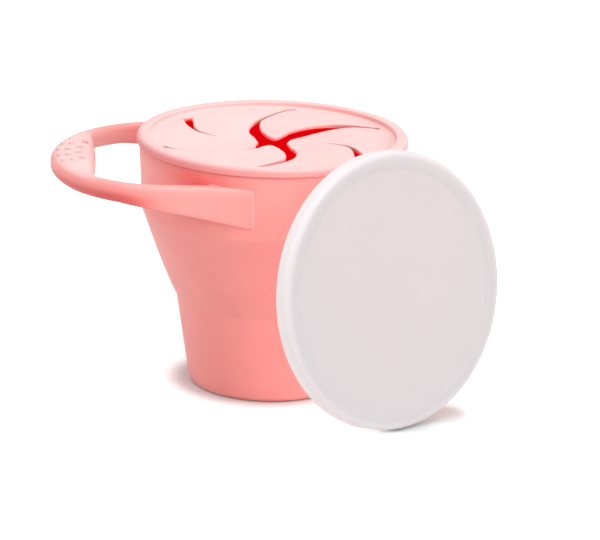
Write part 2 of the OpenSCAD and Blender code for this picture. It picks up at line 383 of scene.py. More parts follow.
class Palette:
    """The node tree of one material or world."""

    def __init__(self, owner: bpy.types.Material | bpy.types.World) -> None:
        """Empties the owner's node tree.

        Args:
            owner: a material or a world.
        """
        owner.use_nodes = True
        self.owner = owner
        self.tree = owner.node_tree
        self.tree.nodes.clear()

    @classmethod
    def material(cls, name: str) -> "Palette":
        """Starts a new material of this name."""
        return cls(bpy.data.materials.new(name))

    def node(self, kind: str, settings: dict | None = None, sockets: dict | None = None) -> bpy.types.Node:
        """Adds a node, sets it up and then fills its input sockets.

        Args:
            kind: the node's type.
            settings: what is set on the node itself.
            sockets: values, wires or output sockets for the inputs, by name or place.

        Returns:
            The node.
        """
        made = self.tree.nodes.new(kind)
        for key, value in (settings or {}).items():
            setattr(made, key, value)
        for key, value in (sockets or {}).items():
            value = value.socket if isinstance(value, Wire) else value
            if isinstance(value, bpy.types.NodeSocket):
                self.tree.links.new(value, made.inputs[key])
            else:
                made.inputs[key].default_value = value
        return made

    def where(self) -> bpy.types.NodeSocket:
        """Object coordinates, in metres."""
        return self.node("ShaderNodeTexCoord").outputs["Object"]

    def noise(self, scale: float, detail: float = 2.0, roughness: float = 0.5) -> Wire:
        """Smooth noise on object coordinates.

        Args:
            scale: cells to the metre.
            detail: how many finer layers are added.
            roughness: strength of each finer layer.

        Returns:
            A wire from 0 to 1.
        """
        sockets = {"Vector": self.where(), "Scale": scale, "Detail": detail, "Roughness": roughness}
        made = self.node("ShaderNodeTexNoise", {"noise_dimensions": "3D"}, sockets)
        return Wire(self, made.outputs["Fac"])

    def attribute(self, name: str) -> Wire:
        """A number kept on the mesh's points."""
        return Wire(self, self.node("ShaderNodeAttribute", {"attribute_name": name}).outputs["Fac"])

    def between(self, amount: Amount, low: float, high: float) -> Wire:
        """The amount's place between two limits as a smooth step.

        Args:
            amount: a wire or a number.
            low: where the step starts.
            high: where it ends.

        Returns:
            The step, from 0 to 1.
        """
        settings = {"interpolation_type": "SMOOTHSTEP"}
        sockets = {"Value": amount, "From Min": low, "From Max": high}
        return Wire(self, self.node("ShaderNodeMapRange", settings, sockets).outputs["Result"])

    def mix(self, amount: Amount, first: object, second: object) -> bpy.types.NodeSocket:
        """Mixes two colours by an amount."""
        made = self.node("ShaderNodeMix", {"data_type": "RGBA"}, {0: amount, 6: first, 7: second})
        return made.outputs[2]

    def bump(self, height: Wire, strength: float, distance: float) -> bpy.types.NodeSocket:
        """A normal bent by a height, with its depth in metres."""
        sockets = {"Strength": strength, "Distance": distance, "Height": height}
        return self.node("ShaderNodeBump", None, sockets).outputs["Normal"]

    def looked_at(self) -> Wire:
        """Rays that the camera, a gloss or something clear looks along.

        Returns:
            A wire that is 1 for such rays, and 0 for light that falls on the object.
        """
        rays = self.node("ShaderNodeLightPath").outputs
        kinds = ("Camera", "Glossy", "Transmission")
        camera, glossy, clear = (Wire(self, rays[f"Is {kind} Ray"]) for kind in kinds)
        return camera.larger(glossy).larger(clear)

    def finish(
        self, shader: bpy.types.NodeSocket, output: str = "ShaderNodeOutputMaterial"
    ) -> bpy.types.ID:
        """Joins the shader to the output and returns the material or world."""
        self.node(output, None, {"Surface": shader})
        return self.owner


@dataclass(frozen=True)
class SiliconeFinish:
    """Soft matte silicone, with painted light laid on it: a painted highlight where light falls on its
    skin, a painted deep red and glow where light comes through it, and painted shade in slits.
    """

    name: str
    skin: tuple[float, float, float]
    # The deep, pale, glow and shade colours are painted light: deep red for shade and light through the
    # silicone, a pale painted highlight, a red painted glow and brown painted shade in slits.
    deep: tuple[float, float, float]
    chalk: tuple[float, float, float]
    glow: tuple[float, float, float]
    scatter_weight: float
    scatter_mm: float
    shade: tuple[float, float, float] = (0.66, 0.29, 0.27)
    roughness: float = 0.5
    mottle_cells: float = 70.0
    mottle_from: tuple[float, float] = (0.3, 0.7)
    mottle_dark: float = 0.955
    fleck_cells: float = 900.0
    fleck_from: tuple[float, float] = (0.66, 0.78)
    fleck: float = 0.05
    grain_cells: float = 2600.0
    grain_share: float = 0.55
    ripple_cells: float = 420.0
    ripple_share: float = 0.45
    grain_rough: float = 0.12
    mottle_rough: float = 0.1
    bump: float = 0.32
    bump_mm: float = 0.06

    def material(self) -> bpy.types.Material:
        """Builds the finish: mottled colour, fine moulded grain, a soft ripple and a painted red glow
        inside, with the painted highlight, deep red and slit shade laid on by the mesh's depth and glow.

        Returns:
            The material.
        """
        palette = Palette.material(self.name)
        depth = palette.attribute("depth")
        skin = linear(self.skin)
        glow = palette.attribute("glow")
        mottle = palette.noise(self.mottle_cells, 3.0)
        fleck = palette.between(palette.noise(self.fleck_cells, 1.0), *self.fleck_from)
        darker = tuple(c * self.mottle_dark for c in skin[:3]) + (1.0,)
        tone = palette.mix(palette.between(mottle, *self.mottle_from), skin, darker)
        tone = palette.mix(fleck * self.fleck, tone, WHITE)
        # Painted light: the pale highlight below depth 0, the deep red above it, and brown slit shade where
        # the glow is below 0.
        tone = palette.mix(0.0 - depth, tone, linear(self.chalk))
        tone = palette.mix(depth, tone, linear(self.deep))
        tone = palette.mix(0.0 - glow, tone, linear(self.shade))
        grain = palette.noise(self.grain_cells, 2.0)
        ripple = palette.noise(self.ripple_cells, 2.0)
        height = grain * self.grain_share + ripple * self.ripple_share
        normal = palette.bump(height, self.bump, self.bump_mm * MM)
        rough = self.roughness + self.grain_rough * (grain - 0.5) + self.mottle_rough * (mottle - 0.5)
        sockets = {
            "Base Color": tone,
            "Roughness": rough,
            "Normal": normal,
            "IOR": 1.41,
            "Subsurface Weight": self.scatter_weight,
            "Subsurface Radius": (1.0, 0.32, 0.26),
            "Subsurface Scale": self.scatter_mm * MM,
            "Sheen Weight": 0.12,
            "Sheen Roughness": 0.45,
            # A painted red glow, not a lamp.
            "Emission Color": palette.mix(glow, BLACK, linear(self.glow)),
            "Emission Strength": 1.0,
        }
        return palette.finish(palette.node("ShaderNodeBsdfPrincipled", None, sockets).outputs[0])


@dataclass(frozen=True)
class MilkyPlasticFinish:
    """Milky, slightly see-through plastic with a fine satin grain and a painted highlight on its rim."""

    name: str
    face: tuple[float, float, float]
    # rim is the colour of the painted highlight on the rounded edge and skirt
    rim: tuple[float, float, float]
    scatter_mm: float = 2.5
    roughness: float = 0.42
    cloud_cells: float = 45.0
    cloud_from: tuple[float, float] = (0.3, 0.7)
    cool: float = 0.985
    grain_cells: float = 3200.0
    grain_rough: float = 0.1
    mark_cells: float = 260.0
    mark_from: tuple[float, float] = (0.58, 0.75)
    mark_h: float = 0.3
    mark_rough: float = 0.08
    bump: float = 0.22
    bump_mm: float = 0.04

    def material(self) -> bpy.types.Material:
        """Builds the finish: cloudy colour, a painted highlight on the rim, satin grain and faint handling
        marks.

        Returns:
            The material.
        """
        palette = Palette.material(self.name)
        cloud = palette.between(palette.noise(self.cloud_cells, 3.0), *self.cloud_from)
        face = linear(self.face)
        cooler = (face[0] * self.cool, face[1] * self.cool, face[2], 1.0)
        tone = palette.mix(cloud, face, cooler)
        # A painted highlight on the rim, laid on by the mesh's depth.
        tone = palette.mix(palette.attribute("depth"), tone, linear(self.rim))
        grain = palette.noise(self.grain_cells, 2.0)
        marks = palette.between(palette.noise(self.mark_cells, 4.0, 0.7), *self.mark_from)
        normal = palette.bump(grain + marks * self.mark_h, self.bump, self.bump_mm * MM)
        rough = self.roughness + self.grain_rough * (grain - 0.5) + self.mark_rough * marks
        sockets = {
            "Base Color": tone,
            "Roughness": rough,
            "Normal": normal,
            "IOR": 1.5,
            "Subsurface Weight": 1.0,
            "Subsurface Radius": (1.0, 0.95, 0.97),
            "Subsurface Scale": self.scatter_mm * MM,
        }
        return palette.finish(palette.node("ShaderNodeBsdfPrincipled", None, sockets).outputs[0])


@dataclass(frozen=True)
class FloorFinish:
    """Plain white paper that keeps the object's shadow and looks white to the camera further out."""

    name: str = "studio_paper"
    paper: float = 0.8
    fibre_dark: float = 0.99
    contact_lift: float = 0.04
    open_lift: float = 0.62
    fibre_cells: float = 800.0
    spots: tuple[tuple[float, float, float, float], ...] = (
        (-2.5, 0.5, 25.0, 9.5),
        (44.0, -46.5, 6.0, 9.0),
        (55.0, -37.0, 6.0, 9.0),
    )

    def material(self) -> bpy.types.Material:
        """Builds matte paper, and adds plain white where something looks straight at it.

        The white is least where the object stands, which leaves the paper there darker, a painted shade
        round the object's foot that keeps its contact shadows deep, and grows by a smooth step with the
        distance from those spots, each given as x, y, radius and reach.

        Returns:
            The material.
        """
        palette = Palette.material(self.name)
        fibre = palette.noise(self.fibre_cells, 3.0)
        light, dark = ((level,) * 3 + (1.0,) for level in (self.paper, self.paper * self.fibre_dark))
        shade = palette.mix(fibre, light, dark)
        paper = palette.node("ShaderNodeBsdfDiffuse", None, {"Color": shade}).outputs[0]
        split = palette.node("ShaderNodeSeparateXYZ", None, {0: palette.where()}).outputs
        x, y = Wire(palette, split[0]), Wire(palette, split[1])
        far: Amount = 1.0
        for spot_x, spot_y, radius, reach in self.spots:
            away = ((x - spot_x * MM) ** 2.0 + (y - spot_y * MM) ** 2.0) ** 0.5
            far = far * palette.between(away, radius * MM, (radius + reach) * MM)
        lift = self.contact_lift + far * (self.open_lift - self.contact_lift)
        white = palette.node("ShaderNodeEmission", None, {"Strength": palette.looked_at() * lift})
        both = palette.node("ShaderNodeAddShader", None, {0: paper, 1: white.outputs[0]})
        return palette.finish(both.outputs[0])


# The cup


@dataclass
class Cup:
    """The cup's moulding: a tapered base section, a flared folding web and an upright band."""

    # Outer form
    base_r: float = 26.2
    crease_z: float = 30.2
    crease_r: float = 31.1
    web_top_z: float = 60.3
    web_top_r: float = 43.1
    mouth_z: float = 82.2
    mouth_r: float = 44.1
    mouth_inner_r: float = 41.2
    knee_up: float = 9.0
    knee_out: float = 0.35
    web_pull: tuple[float, float] = (3.8, 6.8)
    # Walls
    wall: float = 2.0
    floor_t: float = 2.4
    web_wall: float = 1.5
    crease_wall: float = 0.9
    crease_thin: float = 0.4
    base_thin: float = 0.2
    seat_h: float = 6.0
    seat_step: float = 0.5
    step_h: float = 2.0
    fold_rise: float = 1.5
    mouth_gap: float = 0.05
    # Painted shade and glow where an arm of the loop shades the band, and where the painted deep red inside
    # fades out below the mouth
    tuck_turn: float = 56.0
    tuck_half_turn: float = 15.0
    tuck_z: float = 78.0
    tuck_half_z: float = 5.0
    tuck_red: float = 0.4
    tuck_glow: float = 0.42
    mouth_pale: Ramp = Ramp(-1.0, -5.0)
    # Steps of the surface
    web_parts: int = 12
    web_soft: float = 3.0
    rim_points: int = 4
    step: float = 0.9
    turns: int = 224

    def web_outer(self, t: np.ndarray) -> np.ndarray:
        """Outer face of the web: (1 - t) squared a + 2 t (1 - t) b + t squared c, pulled outwards at b.

        Args:
            t: way up the web, from 0 to 1.

        Returns:
            Distance from the axis and height at each t.
        """
        a = np.array([self.crease_r, self.crease_z])
        b = a + np.array(self.web_pull)
        c = np.array([self.web_top_r, self.web_top_z])
        t = t[:, None]
        return (1 - t) ** 2 * a + 2 * t * (1 - t) * b + t**2 * c

    def web_thickness(self, t: np.ndarray) -> np.ndarray:
        """Wall of the web: thin at both creases, plus a half sine wave towards the middle."""
        return self.crease_wall + (self.web_wall - self.crease_wall) * np.sin(np.pi * t)

    def band_radius(self, z: np.ndarray | float) -> np.ndarray:
        """Outer radius of the band at a height, straight between its three rings."""
        heights = [self.web_top_z, self.web_top_z + self.knee_up, self.mouth_z]
        return np.interp(z, heights, [self.web_top_r, self.web_top_r + self.knee_out, self.mouth_r])

    def profile(self) -> tuple[np.ndarray, np.ndarray]:
        """The wall's profile from the middle of its underside, up the outside and down the inside.

        A corner is given by its distance from the axis, its height and its rounding.

        Returns:
            The points, and the depth of each: 0 outside and 1 inside, where a deep red of light through the
                wall is painted.
        """
        t = np.linspace(0, 1, self.web_parts + 1)[1:-1]
        web = self.web_outer(t)
        inner_web = web - np.stack([self.web_thickness(t), 0 * t], axis=-1)
        soft = np.full(len(t), self.web_soft)
        outside = [(0, 0, 0), (self.base_r, 0, 2.2), (self.crease_r, self.crease_z, 1.2)]
        outside += [tuple(row) for row in np.column_stack([web, soft])]
        outside += [
            (self.web_top_r, self.web_top_z, 5.0),
            (self.web_top_r + self.knee_out, self.web_top_z + self.knee_up, 30.0),
            (self.mouth_r, self.mouth_z - self.mouth_gap, 0.45),
        ]
        inside = [
            (self.mouth_inner_r, self.mouth_z - self.mouth_gap, 0.4),
            (self.mouth_inner_r, self.mouth_z - self.seat_h, 1.0),
            (self.mouth_inner_r + self.seat_step, self.mouth_z - self.seat_h - self.step_h, 1.0),
            (self.web_top_r - self.wall, self.web_top_z + self.fold_rise, 2.0),
        ]
        inside += [tuple(row) for row in np.column_stack([inner_web, soft])][::-1]
        inside += [
            (self.crease_r - self.wall + self.crease_thin, self.crease_z, 1.2),
            (self.base_r - self.wall + self.base_thin, self.floor_t, 4.5),
            (0, self.floor_t, 0),
        ]
        points = finer(rounded(outside + inside), self.step)
        turn = int(np.argmax(points[:, 1] > self.mouth_z - 0.06)) + self.rim_points
        depth = ease((np.arange(len(points)) - turn) / self.rim_points)
        return points, depth

    def tuck(self, profile: np.ndarray) -> np.ndarray:
        """Share of the painted shade and glow where each arm of the loop shades the band.

        It is a bell curve exp(-q squared) of the turn away from the arm's root times one of the height.

        Args:
            profile: the wall's profile.

        Returns:
            The share for each point of the profile and each step of the turn.
        """
        turn = np.linspace(0, 360, self.turns, endpoint=False)
        away = (np.abs(turn - 180) - self.tuck_turn) / self.tuck_half_turn
        up = (profile[:, 1] - self.tuck_z) / self.tuck_half_z
        return np.exp(-(up[:, None] ** 2) - away[None] ** 2)

    def build(self, finish: bpy.types.Material) -> bpy.types.Object:
        """Revolves the wall into one closed shell, with the folding web between its two creases.

        Args:
            finish: the silicone.

        Returns:
            The wall, which stands in for the base, the web and the band.
        """
        shell = Shell()
        profile, inside = self.profile()
        # Painted light: deep red inside, faded out just below the mouth, and painted shade and glow under
        # each arm on the outside.
        tuck = self.tuck(profile) * (1 - inside)[:, None]
        inside = (inside * self.mouth_pale.at(profile[:, 1] - self.mouth_z))[:, None]
        depth, glow = (inside + share * tuck for share in (self.tuck_red, self.tuck_glow))
        shell.revolve(profile, depth, glow, self.turns, ring=False)
        cup = shell.piece("cup_wall", finish)
        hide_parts("cup_base", "fold_web", "cup_band")
        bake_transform(cup)
        return cup


# The carry loop


@dataclass
class CarryLoop:
    """The strap that leaves the band on both sides and meets in a grip pad with raised dots."""

    cup: Cup
    # Plan and heights of the strap
    reach: float = 73.4
    half_w: float = 41.75
    strap_t: float = 4.5
    strap_top_z: float = 78.0
    strap_h: float = 6.4
    root_h: float = 13.8
    gusset_x: float = -52.0
    gusset_l: float = 44.0
    gusset_power: float = 1.2
    arm_start_x: float = -36.0
    arm_end_x: float = -8.0
    arm_flare: float = 1.45
    end_round: float = 0.6
    # Grip pad
    pad_inner: float = 58.4
    pad_bow: float = 1.3
    pad_half: float = 24.0
    pad_blend: float = 1.2
    pad_crown: float = 0.5
    nose_wall: float = 0.8
    crown_from: Ramp = Ramp(-60.0, -72.0)
    # Section, from round at the nose to almost square where an arm ends
    arm_power: float = 4.0
    end_power: float = 9.0
    nose_power: float = 2.7
    square_from: Ramp = Ramp(-36.0, -16.0)
    softer_from: Ramp = Ramp(-48.0, -66.0)
    # Joint with the band
    fillet: float = 1.1
    fillet_ends: Ramp = Ramp(-14.0, -26.0)
    embed: float = 1.0
    # Painted light: where along the strap, on which face, and how much; painted highlights on top, painted
    # shade low on the outer face, painted red and glow on the inner face near the cup, and painted pale on
    # it further out
    highlight_from: Ramp = Ramp(-56.0, -70.0)
    near_from: Ramp = Ramp(-60.0, -26.0)
    side_shade_from: Ramp = Ramp(-34.0, -50.0)
    glow_from: Ramp = Ramp(-50.0, -40.0)
    top_face: Ramp = Ramp(0.5, 0.95)
    inner_face: Ramp = Ramp(-0.3, -0.8)
    lower_face: Ramp = Ramp(0.5, -0.4)
    outer_face: Ramp = Ramp(-0.1, 0.5)
    pad_highlight: float = 0.55
    arm_highlight: float = 0.12
    side_shade: float = 0.62
    inner_pale: float = 0.4
    inner_red: float = 0.45
    inner_glow: float = 0.5
    glow_over: float = 0.2
    # Raised dots: distance from the middle of the nose, first direction and number in each row
    dot_rows: tuple[tuple[float, float, int], ...] = ((34.6, 27.3, 5), (31.8, 16.4, 4), (28.3, 23.9, 4))
    dot_gap: float = 6.8
    dot_r: float = 1.0
    dot_h: float = 0.8
    dot_sunk: float = 0.6
    # Painted highlight on the dots and painted shade towards their feet
    dot_highlight: float = 0.75
    dot_shade: float = 0.45
    # Steps of the surfaces
    end_steps: int = 6
    arm_steps: int = 64
    nose_steps: int = 120
    section_steps: int = 88
    dot_rings: int = 9
    dot_turns: int = 20

    def stations(self) -> tuple[np.ndarray, np.ndarray]:
        """Outer and inner plan points along the strap, from the front arm round the nose to the back arm.

        An arm runs straight in x and flares out by the square of its distance from the nose. The nose is a
        half ellipse on each side, and the pad's inner edge takes over from it by a soft maximum.

        Returns:
            Outer and inner points, one row for each station.
        """
        t = np.linspace(0, 1, self.arm_steps, endpoint=False)
        x = self.arm_end_x + (self.arm_start_x - self.arm_end_x) * t
        flare = self.arm_flare * (1 - t) ** 2
        inner_w = self.half_w - self.strap_t
        lead = np.linspace(1, 0, self.end_steps, endpoint=False)
        drop = self.end_round * (1 - np.sqrt(1 - lead**2))
        x = np.concatenate([self.arm_end_x + self.end_round * lead, x])
        flare = np.concatenate([self.arm_flare - drop, flare])
        front_out = np.column_stack([x, -(self.half_w + flare)])
        front_in = np.column_stack([x, -(inner_w + flare)])
        angle = np.radians(np.linspace(-90, 90, self.nose_steps + 1))
        out_l = self.reach + self.arm_start_x
        in_l = out_l - self.strap_t - self.nose_wall
        nose_out = np.column_stack([self.arm_start_x - out_l * np.cos(angle), self.half_w * np.sin(angle)])
        nose_in = np.column_stack([self.arm_start_x - in_l * np.cos(angle), inner_w * np.sin(angle)])
        edge = -self.pad_inner - self.pad_bow * (nose_in[:, 1] / self.pad_half) ** 2
        gap = nose_in[:, 0] - edge
        nose_in[:, 0] = (nose_in[:, 0] + edge + np.sqrt(gap**2 + self.pad_blend**2)) / 2
        mirror = np.array([1, -1])
        outer = np.concatenate([front_out, nose_out, (front_out * mirror)[::-1]])
        inner = np.concatenate([front_in, nose_in, (front_in * mirror)[::-1]])
        return outer, inner

    def low(self, x: np.ndarray) -> np.ndarray:
        """Lower edge of the strap, which drops by a power of the way along the gusset."""
        s = np.maximum(0, (x - self.gusset_x) / self.gusset_l)
        return self.strap_top_z - self.strap_h - (self.root_h - self.strap_h) * s**self.gusset_power

    def oval(self, power: float) -> np.ndarray:
        """A unit rounded rectangle, |x| to a power plus |y| to it being 1, at even steps round its edge.

        Args:
            power: 2 for an ellipse, and more for squarer corners.

        Returns:
            The outline's points, one row each.
        """
        a = np.linspace(0, 2 * np.pi, 4001)
        fine = np.stack([np.sign(v) * np.abs(v) ** (2 / power) for v in (np.cos(a), np.sin(a))], axis=-1)
        along = np.concatenate([[0], np.cumsum(np.linalg.norm(np.diff(fine, axis=0), axis=1))])
        even = np.linspace(0, along[-1], self.section_steps, endpoint=False)
        return np.stack([np.interp(even, along, fine[:, k]) for k in (0, 1)], axis=-1)

    def sections(self, x: np.ndarray) -> np.ndarray:
        """Unit sections along the strap, softest at the nose and almost square where an arm ends.

        Args:
            x: place of each station along the arms.

        Returns:
            One outline for each station, each within a square from -1 to 1.
        """
        square = self.square_from.at(x)[:, None, None]
        soft = self.softer_from.at(x)[:, None, None]
        plain, end, nose = (self.oval(p) for p in (self.arm_power, self.end_power, self.nose_power))
        return plain + square * (end - plain) + soft * (nose - plain)

    def surface(self) -> np.ndarray:
        """Points of the strap, one row for each section.

        A section lies between its outer and inner point and between the lower and upper edge. Close to the
        band, each point moves along its own normal by r - sqrt(r squared - (r - d) squared), d being its
        distance from the band, which makes a fillet of radius r. Points inside the wall stop there.

        Returns:
            Grid of points in millimetres.
        """
        outer, inner = self.stations()
        unit = self.sections(outer[:, 0])
        share = self.crown_from.at(outer[:, 0])
        high = self.strap_top_z + self.pad_crown * share
        low = self.low(outer[:, 0]) - self.pad_crown * share
        mid, half = (outer + inner) / 2, (outer - inner) / 2
        plan = mid[:, None] + half[:, None] * unit[..., :1]
        z = ((high + low) / 2)[:, None] + ((high - low) / 2)[:, None] * unit[..., 1]
        points = np.concatenate([plan, z[..., None]], axis=-1)
        along = np.gradient(points, axis=0)
        wrapped = np.concatenate([points[:, -1:], points, points[:, :1]], axis=1)
        across = (wrapped[:, 2:] - wrapped[:, :-2]) / 2
        normal = np.cross(across, along)
        normal /= np.linalg.norm(normal, axis=-1, keepdims=True)
        distance = np.linalg.norm(points[..., :2], axis=-1)
        out = points[..., :2] / distance[..., None]
        d = np.clip(distance - self.cup.band_radius(points[..., 2]), 0, self.fillet)
        rise = self.fillet - np.sqrt(self.fillet**2 - (self.fillet - d) ** 2)
        facing = np.einsum("ijk,ijk->ij", normal[..., :2], out)
        spokes = points - points.mean(axis=1, keepdims=True)
        outward = np.sign(np.einsum("ijk,ijk->ij", normal, spokes).mean())
        rise = rise * self.fillet_ends.at(outer[:, :1])
        points = points + normal * (outward * rise * (1 - facing**2) ** 2)[..., None]
        radius = np.linalg.norm(points[..., :2], axis=-1)
        least = self.cup.band_radius(points[..., 2]) - self.embed
        points[..., :2] *= (np.maximum(radius, least) / radius)[..., None]
        return points

    def depths(self) -> np.ndarray:
        """Painted light on the strap: a painted highlight on top, most on the pad, painted shade low on the
        outer face, and on the inner face painted red near the cup and a painted pale further out.

        Returns:
            A depth for each point of the strap's grid.
        """
        outer, _ = self.stations()
        unit = self.sections(outer[:, 0])
        pad, near, along = (
            ramp.at(outer[:, :1]) for ramp in (self.highlight_from, self.near_from, self.side_shade_from)
        )
        up, inner = self.top_face.at(unit[..., 1]), self.inner_face.at(unit[..., 0])
        low = self.lower_face.at(unit[..., 1]) * self.outer_face.at(unit[..., 0])
        # Painted shade low on the outer face towards the nose, painted red on the inner face near the cup
        # and painted pale further out, less a painted highlight on top.
        painted_tone = self.side_shade * low * along
        painted_tone += inner * (1 - up) * (self.inner_red * near - self.inner_pale * (1 - near))
        return painted_tone - (self.arm_highlight + self.pad_highlight * pad) * up

    def build(self, finish: bpy.types.Material) -> list[bpy.types.Object]:
        """Lofts the strap and sets the raised dots on its pad.

        Args:
            finish: the silicone.

        Returns:
            The strap and its dots.
        """
        shell = Shell()
        points = self.surface()
        depth = self.depths()
        # A painted red glow where the inner face is painted deepest, towards the cup.
        red = np.maximum(0, depth - self.glow_over) * self.glow_from.at(self.stations()[0][:, :1])
        numbers = shell.add(points, depth, red * self.inner_glow)
        shell.skin(numbers, ring_columns=True)
        for row, before in ((0, True), (-1, False)):
            tip = shell.add(points[row].mean(axis=0)[None])
            shell.fan(int(tip[0]), numbers[row], before)
        strap = shell.piece("carry_strap", finish)
        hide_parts("carry_loop")
        made = [strap, self.dots(finish)]
        for piece in made:
            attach(piece, Follows.BAND.value)
        return made

    def dots(self, finish: bpy.types.Material) -> bpy.types.Object:
        """Makes the raised dots, low domes whose height is h cos to the 1.5 of the way out.

        Args:
            finish: the silicone.

        Returns:
            One piece that holds all the dots.
        """
        shell = Shell()
        way = np.linspace(0, 1, self.dot_rings)[:, None]
        around = np.linspace(0, 360, self.dot_turns, endpoint=False)[None]
        dome = on_circle(self.dot_r * way, around)
        top = self.dot_h * np.cos(way * np.pi / 2) ** 1.5 + 0 * around
        for radius, first, count in self.dot_rows:
            for k in range(count):
                angle = first - np.degrees(k * self.dot_gap / radius)
                spot = np.array([self.arm_start_x, 0]) + on_circle(-radius, -angle)
                base = self.strap_top_z + self.pad_crown - self._fall(radius)
                cap = np.concatenate([spot + dome[1:], (base + top)[1:, :, None]], axis=-1)
                root = cap[-1:].copy()
                root[..., 2] -= self.dot_sunk
                # Painted highlight on each dot, and painted shade growing towards its foot.
                shade = -self.dot_shade * ease(np.append(way[1:], 1.0))[:, None]
                numbers = shell.add(np.concatenate([cap, root]), -self.dot_highlight, shade)
                shell.skin(numbers, ring_columns=True)
                middle = [[*spot, base + self.dot_h], [*spot, base - self.dot_sunk]]
                tips = shell.add(np.array(middle), -self.dot_highlight)
                shell.fan(int(tips[0]), numbers[0], True)
                shell.fan(int(tips[1]), numbers[-1], False)
        return shell.piece("grip_dots", finish)

    def _fall(self, radius: float) -> float:
        """How far the pad's rounded top lies below its crown.

        Args:
            radius: distance from the middle of the nose.

        Returns:
            The fall in millimetres, from the outline |x| to a power plus |y| to it being 1.
        """
        outer_l = self.reach + self.arm_start_x
        inner_l = self.pad_inner + self.arm_start_x
        across = abs(2 * radius - outer_l - inner_l) / (outer_l - inner_l)
        height = (1 - across**self.nose_power) ** (1 / self.nose_power)
        return (self.strap_h / 2 + self.pad_crown) * (1 - height)


# The flap top


@dataclass
class FlapTop:
    """The flap top: a bead that plugs into the mouth, and a sunk membrane cut into six swirling flaps."""

    # Rim, plug and membrane
    lip_r: float = 45.0
    top_z: float = 85.2
    bead_w: float = 4.2
    membrane_drop: float = 1.5
    membrane_t: float = 1.3
    mouth_z: float = 82.2
    plug_r: float = 40.9
    plug_wall: float = 1.6
    plug_depth: float = 5.0
    plug_lead: float = 3.5
    plug_taper: float = 0.3
    seat: float = 0.05
    seam_r: float = 38.9
    seam_gap: float = 0.004
    # Lines of the slits
    slit_out_r: float = 38.0
    slit_start: float = 20.0
    slit_sweep: float = 1.85
    arm_lead: float = 5.0
    arm_least: float = 0.6
    arm_from: Ramp = Ramp(38.0, 30.0)
    comma_lead: float = 1.5
    comma_more: float = 8.0
    comma_lead_from: Ramp = Ramp(27.0, 15.0)
    half_gap: float = 0.32
    closed_gap: float = 0.03
    opens: Ramp = Ramp(18.0, 26.0)
    hole_r: float = 0.85
    holes_at: tuple[float, ...] = (38.0, 38.0, 36.3, 38.0, 38.0, 38.0)
    # Openings of the three kinds of slit
    wedge_w: float = 3.2
    wedge_in: float = 13.9
    wedge_l: float = 18.1
    arm_gap_w: float = 4.3
    arm_gap_in: float = 14.0
    arm_gap_out: float = 26.0
    comma_w: float = 2.2
    comma_from: Ramp = Ramp(25.0, 34.0)
    comma_end: float = 2.8
    # Tips and roots of the flaps
    starts_in: tuple[float, ...] = (13.9, 9.0, 5.6)
    ends_in: tuple[float, ...] = (9.4, 14.0, 5.6)
    tip_dip: tuple[float, ...] = (5.6, 2.0, 0.0)
    root_r: float = 31.0
    root_inset: float = 0.85
    root_gap: float = 0.25
    bend_half: float = 1.5
    # Rounding of the edges
    edge_round: float = 0.38
    narrow_round: float = 0.16
    wide_from: Ramp = Ramp(0.6, 2.3)
    least_round: float = 0.02
    shut_round: float = 0.9
    end_fade: float = 0.4
    head_r: float = 32.5
    # Sag at rest
    paddle_sag: tuple[float, ...] = (2.7, 0.25)
    paddle_l: float = 26.0
    joined_sag: float = 1.9
    joined_r: float = 33.0
    sheet_sag: float = 1.7
    sheet_r: float = 37.0
    edge_sag: float = 1.3
    edge_sag_from: Ramp = Ramp(32.0, 14.0)
    # Painted light on the flaps, by the share of the rounding and the width of the opening: painted shade
    # in narrow slits, a painted red and glow of light through the edges and walls at wide openings, and
    # painted deep red underneath
    edge_shade: float = 0.75
    narrow_shade: float = 0.42
    edge_red: float = 0.32
    wide_less: float = 0.12
    wide_red: float = 0.2
    edge_glow: float = 0.25
    under_deep: float = 0.95
    wall_less: float = 0.5
    wall_more: float = 0.15
    under_glow: float = 0.1
    wall_glow: float = 0.35
    # Painted light on the rim: painted shade down the lip's side, on the bead's inner edge, at the lip's
    # foot and faintly over the bead, and painted deep red and glow inside the plug
    side_shade: float = 0.5
    side_out: Ramp = Ramp(-2.6, -0.6)
    side_down: Ramp = Ramp(0.5, -1.3)
    bead_shade: float = 0.32
    bead_in: Ramp = Ramp(1.5, 0.6)
    bead_down: Ramp = Ramp(0.02, -0.33)
    low_shade: float = 0.25
    low_down: Ramp = Ramp(0.7, 0.0)
    crown_shade: float = 0.07
    crown_up: Ramp = Ramp(0.4, 1.0)
    plug_glow: float = 0.3
    plug_out: Ramp = Ramp(0.0, -0.8)
    # Steps of the surfaces
    columns: int = 60
    hole_rows: int = 16
    hole_share: float = 0.082
    blade_rows: int = 84
    edge_parts: int = 12
    edge_batches: int = 24
    rim_turns: int = 240
    rim_step: float = 0.5

    @property
    def across(self) -> np.ndarray:
        """Way across a flap of each column of its grid, closer together near the edges."""
        return (1 - np.cos(np.linspace(0, np.pi, self.columns + 1))) / 2

    @property
    def membrane_z(self) -> float:
        """Height of the membrane's upper face."""
        return self.top_z - self.membrane_drop

    def slit_angle(self, i: int, r: np.ndarray) -> np.ndarray:
        """Direction of slit i at a radius: an even turn for each millimetre in, less the slit's lead.

        Args:
            i: number of the slit, from 0.
            r: distances from the axis.

        Returns:
            The direction at each distance, in degrees.
        """
        arm = self.arm_lead * (self.arm_least + (1 - self.arm_least) * self.arm_from.at(r))
        comma = self.comma_lead + self.comma_more * self.comma_lead_from.at(r)
        lead = (0.0 * r, arm, comma)[i % 3]
        return self.slit_start + 60.0 * i + self.slit_sweep * (self.slit_out_r - r) - lead

    def beside(self, i: int, r: np.ndarray, off: np.ndarray | float) -> np.ndarray:
        """Direction of the point at radius r that lies a distance across slit i, in degrees."""
        slope = r * np.radians(self.slit_sweep)
        return self.slit_angle(i, r) + np.degrees(off * np.sqrt(1 + slope**2) / r)

